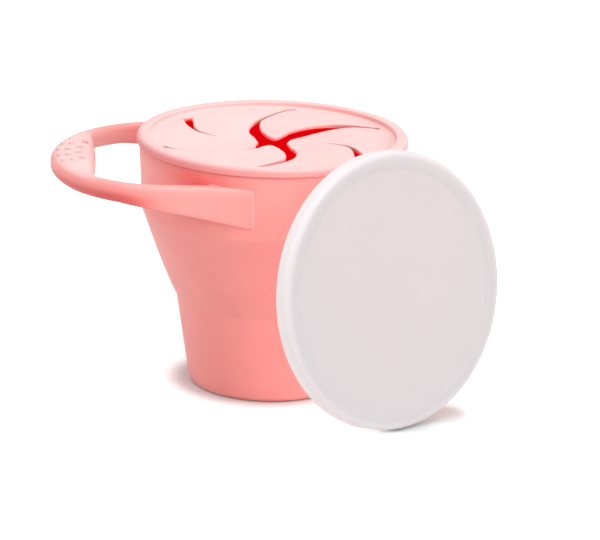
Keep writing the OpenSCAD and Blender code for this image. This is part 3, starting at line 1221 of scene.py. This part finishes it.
    def gap(self, i: int, r: np.ndarray, side: int) -> np.ndarray:
        """Distance of one edge of slit i from its middle line, with a round hole at the slit's outer end.

        With L the way in along the slit from its end and s its slope, the hole of radius h reaches
        (- L s +- sqrt(h squared (1 + s squared) - L squared)) / (1 + s squared) across it.

        Args:
            i: number of the slit.
            r: distances from the axis.
            side: 1 for the edge on the slit's left looking outward, and -1 for the other.

        Returns:
            The signed distance of the edge at each radius, in millimetres.
        """
        line = np.full_like(r, self.half_gap)
        if i % 3 == 2:
            line = self.closed_gap + (self.half_gap - self.closed_gap) * self.opens.at(r)
        hole_at = self.holes_at[i % 6]
        slope = hole_at * np.radians(self.slit_sweep)
        steep = 1 + slope**2
        way = (hole_at - r) * np.sqrt(steep)
        inside = self.hole_r**2 * steep - way**2
        hole = (side * np.sqrt(np.maximum(0, inside)) - way * slope) / steep
        beyond = r > hole_at
        joined = np.maximum(line, side * hole) * side
        return np.where(beyond, hole, np.where(inside > 0, joined, line * side))

    def recess(self, i: int, r: np.ndarray) -> np.ndarray:
        """Width by which slit i opens on its clockwise side.

        Slits 0 and 3 open into a wedge, w (1 - s to the 1.5) along the way out, slits 1 and 4 into an arm
        that widens evenly inward, and slits 2 and 5 into a comma that swells by a smooth step and ends in a
        quarter of an ellipse.

        Args:
            i: number of the slit.
            r: distances from the axis.

        Returns:
            The width at each distance, in millimetres.
        """
        if i % 3 == 0:
            return self.wedge_w * (1 - np.clip((r - self.wedge_in) / self.wedge_l, 0, 1) ** 1.5)
        if i % 3 == 1:
            inward = np.maximum(0, self.arm_gap_out - r)
            return self.arm_gap_w * inward / (self.arm_gap_out - self.arm_gap_in)
        beyond = np.maximum(0, (r - self.comma_from.end) / self.comma_end)
        return self.comma_w * self.comma_from.at(r) * np.sqrt(np.maximum(0, 1 - beyond**2))

    def edge_angles(self, i: int, r: np.ndarray) -> tuple[np.ndarray, np.ndarray]:
        """Directions of flap i's two long edges at a radius, which stay put inward of the edges' ends.

        Args:
            i: number of the flap, from 0.
            r: distances from the axis.

        Returns:
            The left and the right edge's direction at each distance, in degrees.
        """
        left_r = np.maximum(r, self.starts_in[i % 3])
        right_r = np.maximum(r, self.ends_in[(i + 1) % 3])
        left = self.beside(i, left_r, self.gap(i, left_r, 1))
        off = self.gap(i + 1, right_r, -1) - self.recess(i + 1, right_r)
        right = self.beside(i + 1, right_r, off)
        return left, right

    def tip(self, i: int, u: np.ndarray) -> np.ndarray:
        """Inner end of flap i from one edge to the other.

        Where it is rounded, its radius goes evenly from one edge's end to the other's, less a dip of
        (1 - (2 u - 1) squared) to the 0.6. Otherwise it is a straight edge.

        Args:
            i: number of the flap, from 0.
            u: way across the flap from 0 to 1.

        Returns:
            Plan points.
        """
        starts, ends = np.array([self.starts_in[i % 3]]), np.array([self.ends_in[(i + 1) % 3]])
        left, _ = self.edge_angles(i, starts)
        _, right = self.edge_angles(i, ends)
        dip = self.tip_dip[i % 3]
        if dip > 0:
            r = starts + (ends - starts) * u - dip * (1 - (2 * u - 1) ** 2) ** 0.6
            return on_circle(r, left + (right - left) * u)
        a, b = on_circle(starts, left)[0], on_circle(ends, right)[0]
        return a + (b - a) * u[:, None]

    def plan(self, i: int) -> np.ndarray:
        """Plan points of flap i and of the fixed sector outside it, from the seam in to the tip.

        A row lies on a circle between the directions of the two edges, its radius running from the seam to
        the tip's own, and the fourth power of the way in draws the last rows onto the tip's line.

        Args:
            i: number of the flap, from 0.

        Returns:
            Grid of plan points, with rows from the seam inwards.
        """
        across = self.across
        outer = (1 - np.cos(np.linspace(0, np.pi, self.hole_rows + 1))) / 2
        inward = np.sin(np.linspace(0, np.pi / 2, self.blade_rows + 1))
        inward = self.hole_share + (1 - self.hole_share) * inward
        way = np.concatenate([self.hole_share * outer[:-1], inward])
        tip = self.tip(i, across)
        tip_radius = np.linalg.norm(tip, axis=1)
        outer_r = self.seam_r - self.seam_gap
        r = outer_r + (tip_radius[None] - outer_r) * way[:, None]
        left, right = self.edge_angles(i, r)
        rows = on_circle(r, left + (right - left) * across[None])
        pull = way[:, None, None] ** 4
        return rows + pull * (tip - rows[-1])[None]

    def hinge(self, i: int) -> tuple[np.ndarray, np.ndarray]:
        """Root line of a flap.

        Args:
            i: number of the flap, from 0.

        Returns:
            A point on the axis that the flap bends about, and the plan direction inwards.
        """
        starts, ends = np.array([self.root_r]), np.array([self.slit_out_r])
        a = on_circle(starts, self.beside(i, starts, self.root_gap))[0]
        b = on_circle(ends, self.beside(i + 1, ends, -self.root_gap))[0]
        along = (b - a) / np.linalg.norm(b - a)
        inwards = np.array([-along[1], along[0]])
        return (a + b) / 2 + inwards * self.root_inset, inwards

    def edge(self, i: int, plan: np.ndarray) -> tuple[np.ndarray, ...]:
        """Shape of the rounded edge, from the distance d to the nearest point of the edge.

        The fall is e - sqrt(e squared - (e - d) squared), where e is the edge's rounding there, less where
        the slit is narrow.

        Args:
            i: number of the flap, from 0.
            plan: its grid of plan points.

        Returns:
            At each point of the grid the fall below the face in millimetres, its share of the rounding, how
            wide the opening is beside it, from 0 to 1, and how close the edge is, from 0 to 1.
        """
        border = np.concatenate([plan[:, 0], plan[-1, 1:-1], plan[::-1, -1]])
        radius = np.linalg.norm(border, axis=1)
        shut = 1 - self.opens.at(radius)
        first, last = len(plan), len(border) - len(plan)
        near_left = np.arange(len(border)) < first
        near_right = np.arange(len(border)) >= last
        shut = shut * ((near_left & (i % 3 == 2)) | (near_right & (i % 3 == 1)))
        width = np.where(near_left, self.recess(i, radius), self.recess(i + 1, radius))
        wide = np.where(near_left | near_right, self.wide_from.at(width), 1.0) * (1 - shut)
        head = (radius > self.head_r) & (radius < self.slit_out_r - self.hole_r)
        wide = np.where(near_right & (i % 3 == 1) & head, 1.0, wide)
        wide = np.where(near_left & (i == 3), 0.0, wide)
        rounding = self.narrow_round + (self.edge_round - self.narrow_round) * wide
        end = np.where(near_left, self.holes_at[i], self.holes_at[(i + 1) % 6]) + self.hole_r
        rounding = rounding * (1 - self.shut_round * shut) * ease((end - radius) / self.end_fade)
        marks = np.column_stack([border, rounding])
        t = np.linspace(0, 1, self.edge_parts, endpoint=False)[None, :, None]
        fine = (marks[:-1, None] * (1 - t) + marks[1:, None] * t).reshape(-1, 3)
        fine_wide = np.repeat(wide[:-1], self.edge_parts)
        flat = plan.reshape(-1, 2)
        fall, share, open_by, close = np.zeros((4, len(flat)))
        for rows in np.array_split(np.arange(len(flat)), self.edge_batches):
            gap = np.linalg.norm(flat[rows, None] - fine[None, :, :2], axis=2)
            nearest = gap.argmin(axis=1)
            d, e = gap.min(axis=1), fine[nearest, 2] + 1e-6
            fall[rows] = e - np.sqrt(np.maximum(0, e**2 - np.maximum(0, e - d) ** 2))
            share[rows] = fall[rows] / e * (e > self.least_round)
            open_by[rows] = fine_wide[nearest]
            close[rows] = ease(1 - d / self.edge_shade) * (e > self.least_round)
        return tuple(values.reshape(plan.shape[:2]) for values in (fall, share, open_by, close))

    def sag(self, i: int, plan: np.ndarray, across: np.ndarray) -> np.ndarray:
        """How far flap i hangs below the membrane's plane at rest.

        A paddle curls down by the power 1.6 of the way from its root. The others dish in together: by
        s ((R - r) / R) to the 1.2 where two of them meet, and by S (1 - (r / R) squared) at a free edge.

        Args:
            i: number of the flap, from 0.
            plan: its grid of plan points.
            across: way across the flap of each column, from 0 to 1.

        Returns:
            The sag at each point of the grid, in millimetres.
        """
        if i % 3 == 0:
            centre, inwards = self.hinge(i)
            s = (plan - centre) @ inwards
            return self.paddle_sag[i // 3] * (np.maximum(0, s) / self.paddle_l) ** 1.6
        r = np.linalg.norm(plan, axis=-1)
        joined = self.joined_sag * np.maximum(0, 1 - r / self.joined_r) ** 1.2
        free = self.sheet_sag * np.maximum(0, 1 - (r / self.sheet_r) ** 2)
        if i == 5:
            free = free + self.edge_sag * self.edge_sag_from.at(r)
        share = (1 - across if i % 3 == 1 else across) ** 1.5
        return joined + (free - joined) * share

    def flap(self, i: int, finish: bpy.types.Material) -> bpy.types.Object:
        """Builds flap i with the fixed sector outside it, as one skin that sags as it does at rest.

        Args:
            i: number of the flap, from 0.
            finish: the silicone.

        Returns:
            The blade.
        """
        plan = self.plan(i)
        fall, share, wide, close = self.edge(i, plan)
        high = self.membrane_z - self.sag(i, plan, self.across[None])
        upper = np.concatenate([plan, (high - fall)[..., None]], axis=-1)
        under = np.concatenate([plan, (high - self.membrane_t + fall)[..., None]], axis=-1)
        shell = Shell()
        # Painted shade in narrow slits, a painted red and glow of light through the edges and walls at wide
        # openings, and painted deep red underneath.
        shade = self.narrow_shade * (1 - wide) * close
        red = (self.edge_red - self.wide_less * wide) * ease(share) + self.wide_red * wide * close
        deep = self.under_deep - (self.wall_less - self.wall_more * wide) * share
        glow = wide * (self.under_glow + self.wall_glow * share)
        top = shell.add(upper, red, self.edge_glow * wide * share - shade)
        bottom = shell.add(under, deep, glow - shade)
        shell.skin(top)
        shell.skin(bottom[::-1])
        rim = [np.concatenate([g[0], g[1:, -1], g[-1, -2::-1], g[-2:0:-1, 0]]) for g in (top, bottom)]
        shell.skin(np.stack(rim[::-1]), ring_columns=True)
        flap = shell.piece(f"flap_{i + 1}_blade", finish)
        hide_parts(f"flap_{i + 1}")
        centre, inwards = self.hinge(i)
        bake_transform(flap)
        return flap

    def rim(self, finish: bpy.types.Material) -> bpy.types.Object:
        """Revolves the bead, its lip, the plug below it and the outer ring of the membrane.

        Args:
            finish: the silicone.

        Returns:
            The rim.
        """
        inner_r = self.lip_r - self.bead_w
        under = self.membrane_z - self.membrane_t
        corners = [
            (self.plug_r - self.plug_wall, self.mouth_z - self.plug_depth, 0.4),
            (self.plug_r - self.plug_taper, self.mouth_z - self.plug_depth, 0.6),
            (self.plug_r, self.mouth_z - self.plug_lead, 0.8),
            (self.plug_r, self.mouth_z + self.seat, 0.2),
            (self.lip_r, self.mouth_z + self.seat, 0.5),
            (self.lip_r, self.top_z, 1.5),
            (inner_r, self.top_z, 1.1),
            (inner_r, self.membrane_z, 0.35),
            (self.seam_r, self.membrane_z, 0.0),
            (self.seam_r, under, 0.0),
            (self.plug_r - self.plug_wall, under, 0.3),
        ]
        profile = finer(rounded(corners, closed=True), self.rim_step)
        r, z = profile.T
        # Painted deep red and glow on the plug's inner faces, and painted shade down the lip's side, on the
        # bead's inner edge, at the lip's foot and faintly over the bead.
        inside = (z < under + 0.05) | (r < self.seam_r + 0.01)
        inside &= (r < self.lip_r - 2) & (z < self.membrane_z - 0.05)
        inside = inside * self.plug_out.at(r - self.plug_r)
        side = self.side_shade * self.side_out.at(r - self.lip_r) * self.side_down.at(z - self.top_z)
        bead = self.bead_shade * self.bead_in.at(r - inner_r) * self.bead_down.at(z - self.top_z)
        bead *= z > self.membrane_z + 0.1
        low = self.low_shade * self.low_down.at(z - self.mouth_z) * (r > self.plug_r + 0.2)
        crown = self.crown_shade * self.crown_up.at(z - self.membrane_z)
        depth = np.maximum(inside, np.maximum(side, bead) + low + crown)
        shell = Shell()
        shell.revolve(profile, depth, self.plug_glow * inside, self.rim_turns, ring=True)
        rim = shell.piece("flap_top_rim", finish)
        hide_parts("flap_ring")
        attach(rim, Follows.TOP.value)
        return rim

    def build(self, finish: bpy.types.Material) -> list[bpy.types.Object]:
        """Builds the rim and the six flaps."""
        return [self.rim(finish)] + [self.flap(i, finish) for i in range(6)]


# The storage lid


@dataclass
class StorageLid:
    """The lid: a shallow cap that stands on its edge beside the cup and leans back."""

    # Cap
    lid_r: float = 45.4
    depth: float = 5.4
    wall: float = 0.9
    panel_t: float = 1.2
    # Place: lean and turn in degrees, and its distances from the cup
    lean: float = 9.9
    turn: float = -53.3
    shift: float = 2.9
    space: float = 2.2
    clear: float = 0.4
    lip_r: float = 45.0
    # Snap bead, sunk middle and sealing rib
    snap: float = 0.3
    snap_h: float = 1.6
    dish: float = 0.4
    dish_r: tuple[float, float] = (39.3, 41.0)
    rib_r: tuple[float, ...] = (41.2, 41.0, 40.4, 40.2)
    rib_h: float = 1.5
    # Rounded edge and the painted highlight on it and down the skirt
    edge_w: float = 3.2
    rim_highlight: tuple[float, float] = (0.4, 0.6)
    edge_from: Ramp = Ramp(-3.2, -0.2)
    side_from: Ramp = Ramp(-1.0, -3.4)
    # Steps of the surface
    turns: int = 240
    step: float = 0.8

    def place(self) -> np.ndarray:
        """Matrix that turns the flat lid up on its edge and puts it beside the cup.

        Returns:
            The matrix, in millimetres.
        """
        lean = np.radians(self.lean)
        reach = self.depth * np.cos(lean) + self.lid_r * np.sin(lean)
        distance = self.lip_r + self.clear + reach + self.space
        height = self.depth * np.sin(lean) + self.lid_r * np.cos(lean)
        turned = Matrix.Rotation(np.radians(self.turn), 4, "Z")
        moved = Matrix.Translation((distance, self.shift, height))
        stood = Matrix.Rotation(np.radians(90) - lean, 4, "Y")
        return np.array(turned @ moved @ stood)

    def build(self, finish: bpy.types.Material) -> bpy.types.Object:
        """Revolves the panel with its sunk middle, the rounded edge, the skirt and the sealing rib.

        Args:
            finish: the milky plastic.

        Returns:
            The lid.
        """
        inner_r = self.lid_r - self.wall
        below = -self.panel_t - self.dish
        corners = [
            (0, -self.dish, 0),
            (self.dish_r[0], -self.dish, 2.2),
            (self.dish_r[1], 0, 1.8),
            (self.lid_r, 0, self.edge_w),
            (self.lid_r, -self.depth, 0.35),
            (inner_r, -self.depth, 0.25),
            (inner_r - self.snap, -self.depth + self.snap_h / 2, 0.4),
            (inner_r, -self.depth + self.snap_h, 0.4),
            (inner_r, -self.panel_t, 1.9),
            (self.rib_r[0], -self.panel_t, 0.2),
            (self.rib_r[1], -self.panel_t - self.rib_h, 0.3),
            (self.rib_r[2], -self.panel_t - self.rib_h, 0.3),
            (self.rib_r[3], below, 0.2),
            (0, below, 0),
        ]
        profile = finer(rounded(corners), self.step)
        out, z = profile[:, 0] - self.lid_r, profile[:, 1]
        # A painted highlight on the rounded edge and down the skirt.
        edge, side = self.rim_highlight
        rim = (edge * self.edge_from.at(out) + side * self.side_from.at(z)) * (out > -self.edge_w)
        shell = Shell()
        shell.revolve(profile, rim, 0.0, self.turns, ring=False)
        lid = shell.piece("lid_cap", finish, self.place())
        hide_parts("storage_lid")
        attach(lid, Follows.LID.value)
        return lid


# Studio


@dataclass(frozen=True)
class Softbox:
    """A large square lamp that looks at the object."""

    name: str
    azimuth: float
    elevation: float
    distance: float
    size: float
    power: float
    colour: tuple[float, float, float] = (1.0, 1.0, 1.0)
    passes_lid: bool = False

    def build(self) -> bpy.types.Object:
        """Hangs the lamp at its azimuth and elevation, facing a point at half the cup's height.

        Returns:
            The lamp.
        """
        data = bpy.data.lights.new(self.name, "AREA")
        data.shape = "SQUARE"
        data.size = self.size
        data.energy = self.power
        data.color = self.colour
        lamp = bpy.data.objects.new(self.name, data)
        a, e = np.radians(self.azimuth), np.radians(self.elevation)
        back = np.array([np.sin(a) * np.cos(e), -np.cos(a) * np.cos(e), np.sin(e)])
        right = np.array([np.cos(a), np.sin(a), 0.0])
        lamp.matrix_world = stand(right, np.cross(back, right), back, AIM + back * self.distance)
        bpy.context.scene.collection.objects.link(lamp)
        return lamp


@dataclass
class Studio:
    """Floor, air, lamps and camera."""

    # Floor and air
    floor_half: float = 4.0
    floor_gap_mm: float = 0.05
    floor_marks: int = 9
    air: float = 0.7
    sheet: bpy.types.Object | None = None
    # View: angles in degrees, distance in metres, and the photograph's frame in pixels
    view_down: float = 17.07
    view_roll: float = 1.5
    view_turn: float = 3.3
    view_distance: float = 1.33506
    focal_px: float = 4000.0
    middle_px: tuple[float, float] = (270.01, 249.63)
    size_px: tuple[float, float] = (600.0, 540.0)
    # Lamps, each with its azimuth, elevation, distance, size and power, and those that pass the lid
    through: list[bpy.types.Object] = field(default_factory=list)
    lamps: tuple[Softbox, ...] = field(
        default_factory=lambda: (
            Softbox("top_box", 10.0, 74.0, 0.95, 0.7, 3.8),
            Softbox("right_box", 40.0, 30.0, 1.1, 0.7, 2.2),
            Softbox("side_box", 60.0, 8.0, 1.1, 0.6, 12.5, passes_lid=True),
            Softbox("left_box", -60.0, 25.0, 1.2, 0.7, 2.0),
        )
    )

    def camera(self) -> None:
        """Sets up a long lens that looks down a little and is rolled a little.

        The camera stands at the point it aims at, less the view distance forward and less the two sideways
        offsets that put that point at its place in the picture.
        """
        elevation, roll, turn = np.radians([self.view_down, self.view_roll, self.view_turn])
        ahead = np.array([np.sin(turn), np.cos(turn), 0.0])
        right = np.array([np.cos(turn), -np.sin(turn), 0.0])
        forward = ahead * np.cos(elevation) - np.array([0, 0, np.sin(elevation)])
        up = np.cross(right, forward)
        side = np.cos(roll) * right + np.sin(roll) * up
        top = np.cos(roll) * up - np.sin(roll) * right
        aside = np.array(self.middle_px) - np.array(self.size_px) / 2
        offset = aside * self.view_distance / self.focal_px
        at = AIM - offset[0] * side + offset[1] * top - self.view_distance * forward
        data = bpy.data.cameras.new("camera")
        data.sensor_width = 36.0
        data.lens = self.focal_px * data.sensor_width / self.size_px[0]
        data.clip_end = 20.0
        camera = bpy.data.objects.new("camera", data)
        camera.matrix_world = stand(side, top, -forward, at)
        bpy.context.scene.collection.objects.link(camera)
        bpy.context.scene.camera = camera

    def floor(self) -> None:
        """Lays a flat sheet of paper just under the object."""
        side = np.linspace(-self.floor_half, self.floor_half, self.floor_marks) / MM
        x, y = np.meshgrid(side, side)
        shell = Shell()
        shell.skin(shell.add(np.stack([x, y, np.full_like(x, -self.floor_gap_mm)], axis=-1)))
        self.sheet = shell.piece("paper_floor", FloorFinish().material())

    def world(self) -> None:
        """Fills the air with even light, and shows it as plain white where it is looked at."""
        palette = Palette(bpy.data.worlds.new("studio_air"))
        level = self.air + palette.looked_at() * (1.0 - self.air)
        air = palette.node("ShaderNodeBackground", None, {"Strength": level}).outputs[0]
        bpy.context.scene.world = palette.finish(air, "ShaderNodeOutputWorld")

    def build(self) -> None:
        """Sets the plain view and builds everything that isn't the object."""
        bpy.context.scene.view_settings.view_transform = "Standard"
        self.camera()
        self.floor()
        self.world()
        hung = {lamp.name: lamp.build() for lamp in self.lamps}
        self.through = [hung[lamp.name] for lamp in self.lamps if lamp.passes_lid]

    def let_through(self, lid: bpy.types.Object) -> None:
        """Lets the lamps that pass the lid shine through it, and keeps their light off it and the floor.

        Args:
            lid: the finished lid.
        """
        groups = (("receiver_collection", [lid, self.sheet]), ("blocker_collection", [lid]))
        for lamp in self.through:
            for kind, spared in groups:
                group = bpy.data.collections.new(f"{lamp.name}_{kind}")
                setattr(lamp.light_linking, kind, group)
                for place, item in enumerate(spared):
                    group.objects.link(item)
                    group.collection_objects[place].light_linking.link_state = "EXCLUDE"


def main() -> None:
    """Builds the object piece by piece and notes the size of the result."""
    logging.basicConfig(level=logging.INFO, format="%(name)s %(message)s")
    studio = Studio()
    studio.build()
    cup_silicone = SiliconeFinish(
        name="cup_silicone",
        skin=(1.0, 0.625, 0.605),
        deep=(0.80, 0.02, 0.03),
        chalk=(0.99, 0.88, 0.87),
        glow=(0.62, 0.0, 0.03),
        scatter_weight=0.6,
        scatter_mm=2.4,
    ).material()
    top_silicone = SiliconeFinish(
        name="flap_top_silicone",
        skin=(0.98, 0.81, 0.80),
        deep=(0.90, 0.05, 0.05),
        chalk=(0.99, 0.92, 0.91),
        glow=(0.80, 0.0, 0.0),
        scatter_weight=0.0,
        scatter_mm=1.0,
    ).material()
    lid_plastic = MilkyPlasticFinish(
        name="lid_plastic", face=(0.865, 0.855, 0.86), rim=(0.985, 0.98, 0.99)
    ).material()
    cup = Cup()
    pieces = [cup.build(cup_silicone)]
    pieces += CarryLoop(cup).build(cup_silicone)
    pieces += FlapTop().build(top_silicone)
    pieces.append(StorageLid().build(lid_plastic))
    studio.let_through(pieces[-1])
    LOG.info("%d pieces", len(pieces))


if __name__ == "__main__":
    main()
